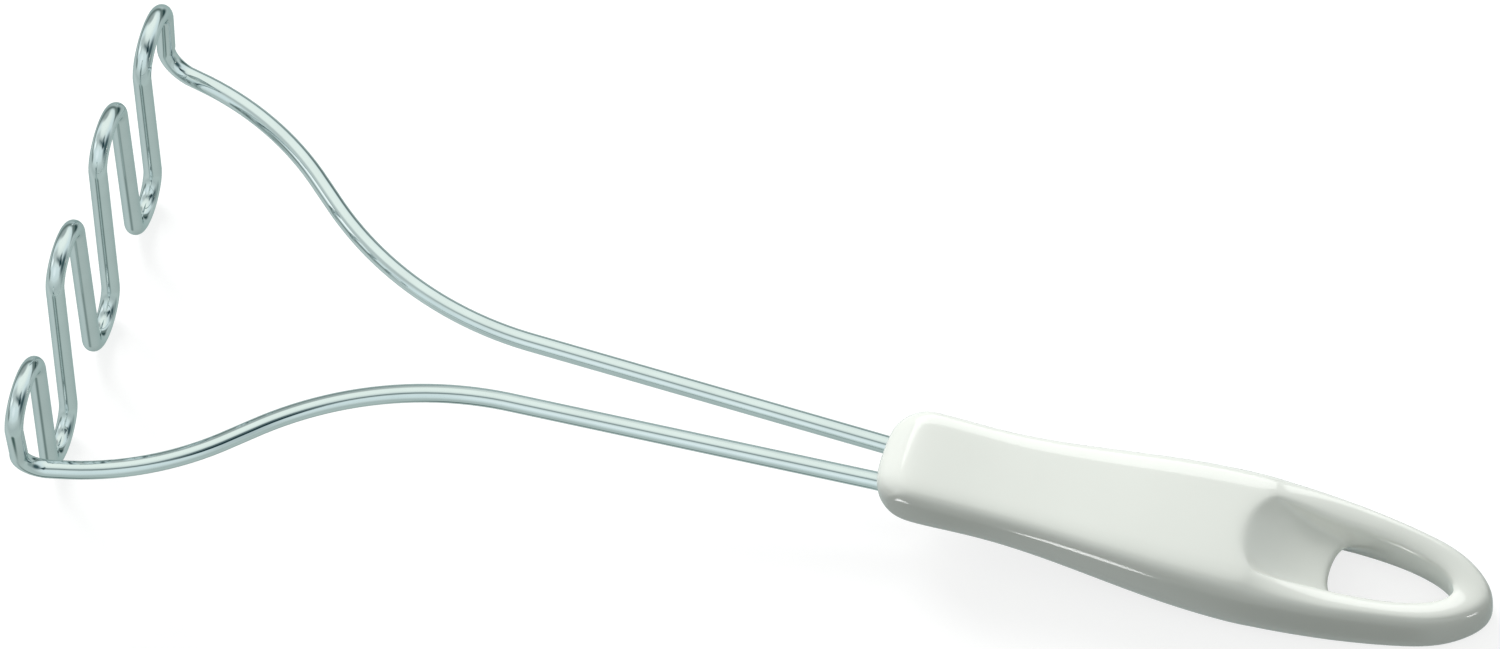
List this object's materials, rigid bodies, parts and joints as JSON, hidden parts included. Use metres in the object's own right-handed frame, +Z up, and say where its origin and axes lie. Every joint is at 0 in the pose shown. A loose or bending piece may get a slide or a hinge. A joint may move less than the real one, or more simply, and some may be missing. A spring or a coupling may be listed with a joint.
{
  "type": "potato masher",
  "caption": "Hand potato masher: a chromed wire bent into an upright zigzag head and two arms, in a moulded ivory plastic handle with a thumb scoop and hang hole.",
  "frame": {"origin": "Middle of the masher's base on the table that it lies on.", "axes": "+X runs from the wire head to the tail of the handle, +Z is up, and Y runs across the head, whose two halves mirror each other. The masher lies on the bottom bends of its head and on the tail of its handle, so its own long axis dips about 4.8 degrees towards +X."},
  "size_m": [0.3124, 0.1082, 0.0652],
  "materials": {
    "chromed_wire": "bright chrome plating on round steel wire",
    "core_plastic": "plain unpolished moulding, out of sight",
    "ivory_plastic": "smooth glossy moulding"
  },
  "bodies": {
    "root": {"masher_wire": "chromed_wire", "handle_core": "core_plastic", "handle_shell": "ivory_plastic"}
  },
  "joints": []
}
